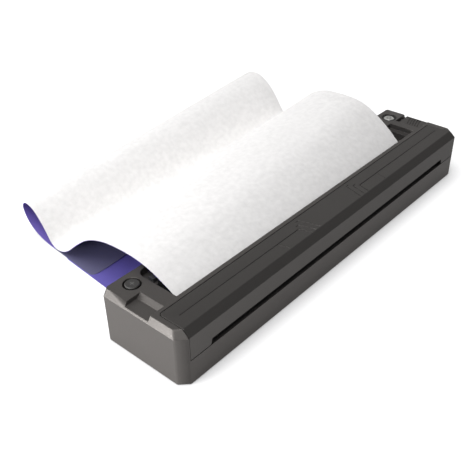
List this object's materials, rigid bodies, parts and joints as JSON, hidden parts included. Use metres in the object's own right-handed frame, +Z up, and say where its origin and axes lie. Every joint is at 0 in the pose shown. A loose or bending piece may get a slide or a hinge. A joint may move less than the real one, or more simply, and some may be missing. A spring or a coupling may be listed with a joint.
{
  "type": "thermal stencil copier",
  "caption": "Portable thermal stencil copier with a hinged front cover over its printing head and rubber roller, and a loaded stencil sheet arching over the back and curling under.",
  "frame": {"origin": "middle of the underside's rectangle, at the level of the surface the machine rests on", "axes": "+X to the machine's right end, +Y to its back, where the sheet goes in, +Z up"},
  "size_m": [0.27, 0.1736, 0.0509],
  "materials": {
    "housing_plastic": "fine metallic graphite, satin",
    "cover_plastic": "fine metallic graphite, satin",
    "base_plastic": "moulded, fine grain",
    "frame_plastic": "moulded, black",
    "white_plastic": "moulded, low friction",
    "steel": "ground",
    "zinc_steel": "zinc plated",
    "socket_steel": "nickel plated",
    "brass": "cut",
    "aluminium": "extruded",
    "ceramic": "glazed",
    "foot_rubber": "moulded",
    "roller_rubber": "ground",
    "button_dark": "satin black",
    "button_silver": "silver metallic",
    "bezel_black": "black",
    "sensor_grey": "moulded",
    "latch_plastic": "ribbed, satin graphite",
    "board_green": "solder resist",
    "chip_black": "moulded",
    "cell_wrap": "shrink sleeve",
    "stencil_paper": "fibrous, white above and violet below",
    "carbon_paper": "violet coating"
  },
  "bodies": {
    "case": {"main_housing": "housing_plastic", "bottom_plate": "base_plastic", "bottom_screws": "steel", "rubber_feet": "foot_rubber", "platen_frame": "frame_plastic", "shaft_bushes": "white_plastic", "gear_plate": "zinc_steel", "idler_pin": "steel", "feed_motor": "zinc_steel", "paper_guide": "frame_plastic", "feed_switch_board": "board_green", "power_switch_board": "board_green", "power_bezel": "bezel_black", "paper_sensor": "sensor_grey", "latch_spring": "steel", "main_board": "board_green", "board_chips": "chip_black", "board_screws": "steel", "charge_board": "board_green", "charging_socket": "socket_steel", "battery_cells": "cell_wrap", "battery_holder": "frame_plastic"},
    "cover": {"front_cover": "cover_plastic", "hinge_pins": "steel", "head_pivot_rod": "steel", "head_springs": "steel"},
    "head": {"head_ceramic": "ceramic", "head_heatsink": "aluminium", "head_bracket": "zinc_steel"},
    "platen": {"platen_roller": "roller_rubber", "platen_shaft": "steel", "platen_gear": "white_plastic"},
    "idler": {"idler_gear": "white_plastic"},
    "rotor": {"motor_pinion": "brass", "motor_shaft": "steel"},
    "feed_key": {"feed_button": "button_dark"},
    "power_key": {"power_button": "button_silver"},
    "latch": {"release_latch": "latch_plastic"},
    "sheet_set": {"stencil_sheet": "stencil_paper", "carbon_sheet": "carbon_paper"}
  },
  "joints": [
    {"name": "cover_hinge", "type": "hinge", "parent": "case", "child": "cover", "pos_m": [0, -0.0259, 0.0171], "axis": [1, 0, 0], "range_deg": [0, 90]},
    {"name": "head_pivot", "type": "hinge", "parent": "cover", "child": "head", "pos_m": [0, -0.02382, 0.02272], "axis": [1, 0, 0], "range_deg": [0, 3], "stiffness_Nm_per_rad": 0.2, "springref_deg": -3.44, "deforming": ["head_springs"]},
    {"name": "platen_spin", "type": "hinge", "parent": "case", "child": "platen", "pos_m": [0, -0.0123, 0.018], "axis": [1, 0, 0], "continuous": true},
    {"name": "idler_spin", "type": "hinge", "parent": "case", "child": "idler", "pos_m": [-0.122, -0.00111, 0.0123], "axis": [1, 0, 0], "continuous": true},
    {"name": "rotor_spin", "type": "hinge", "parent": "case", "child": "rotor", "pos_m": [-0.12, 0.01133, 0.01405], "axis": [1, 0, 0], "continuous": true},
    {"name": "feed_press", "type": "slide", "parent": "case", "child": "feed_key", "axis": [0, 0, -1], "range_m": [0, 0.0008], "stiffness_N_per_m": 300, "springref_m": -0.001},
    {"name": "power_press", "type": "slide", "parent": "case", "child": "power_key", "axis": [0, 0, -1], "range_m": [0, 0.0008], "stiffness_N_per_m": 300, "springref_m": -0.001},
    {"name": "latch_slide", "type": "slide", "parent": "case", "child": "latch", "axis": [0, 1, 0], "range_m": [0, 0.002], "stiffness_N_per_m": 200, "springref_m": -0.002, "deforming": ["latch_spring"]},
    {"name": "sheet_pull", "type": "slide", "parent": "case", "child": "sheet_set", "axis": [0, 0.9135, 0.4067], "range_m": [0, 0.038]}
  ],
  "couplings": [
    {"joint": "idler_spin", "follows": "platen_spin", "ratio": -2.125},
    {"joint": "rotor_spin", "follows": "platen_spin", "ratio": 5.4643}
  ]
}
